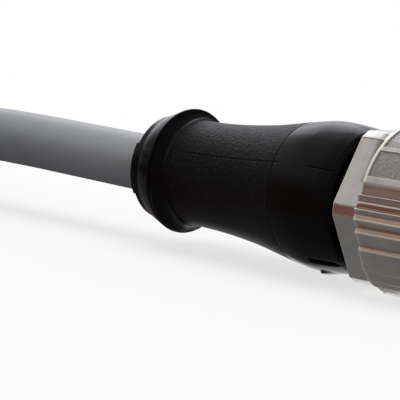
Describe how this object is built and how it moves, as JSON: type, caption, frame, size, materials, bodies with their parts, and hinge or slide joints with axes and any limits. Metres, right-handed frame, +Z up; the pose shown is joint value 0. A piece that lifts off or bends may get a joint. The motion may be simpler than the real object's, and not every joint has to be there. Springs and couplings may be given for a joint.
{
  "type": "circular m12 connector",
  "caption": "Pre-wired male sensor connector with a ribbed hexagonal coupling screw, moulded grip, keyed pin socket and a cable folded into a tied hank.",
  "frame": {"origin": "centre of the shoulder where the coupling thread begins, on the connector's axis", "axes": "+X along the connector's axis towards the mating end, +Z up, away from the surface that it lies on"},
  "size_m": [0.1861, 0.0547, 0.0252],
  "materials": {
    "nickel": "nickel-plated die casting, satin bright",
    "carrier": "moulded plastic, matt",
    "gold": "gold-plated brass",
    "grip": "soft moulded plastic, satin shoulder and spark-eroded neck",
    "ring": "rubber",
    "inner_mould": "moulded plastic",
    "sheath": "grey cable sheath, matt",
    "core_brown": "core insulation",
    "core_white": "core insulation",
    "core_blue": "core insulation",
    "core_black": "core insulation",
    "core_grey": "core insulation",
    "conductor": "tinned strands",
    "tie": "soft black tie"
  },
  "bodies": {
    "plug": {"contact_carrier": "carrier", "contact_pin_1": "gold", "contact_pin_2": "gold", "contact_pin_3": "gold", "contact_pin_4": "gold", "contact_pin_5": "gold", "grip_body": "grip", "friction_ring": "ring", "inner_mould": "inner_mould", "cable_in_grip": "sheath", "core_brown": "core_brown", "core_white": "core_white", "core_blue": "core_blue", "core_black": "core_black", "core_grey": "core_grey", "cable_run": "sheath", "cable_hank": "sheath", "hank_tie_outer": "tie", "hank_tie_inner": "tie", "lead_brown": "core_brown", "lead_white": "core_white", "lead_blue": "core_blue", "lead_black": "core_black", "lead_grey": "core_grey", "conductor_brown": "conductor", "conductor_white": "conductor", "conductor_blue": "conductor", "conductor_black": "conductor", "conductor_grey": "conductor"},
    "coupling": {"coupling_screw": "nickel"}
  },
  "joints": [
    {"name": "coupling_spin", "type": "hinge", "parent": "plug", "child": "coupling", "pos_m": [0, 0, 0], "axis": [1, 0, 0], "continuous": true}
  ]
}
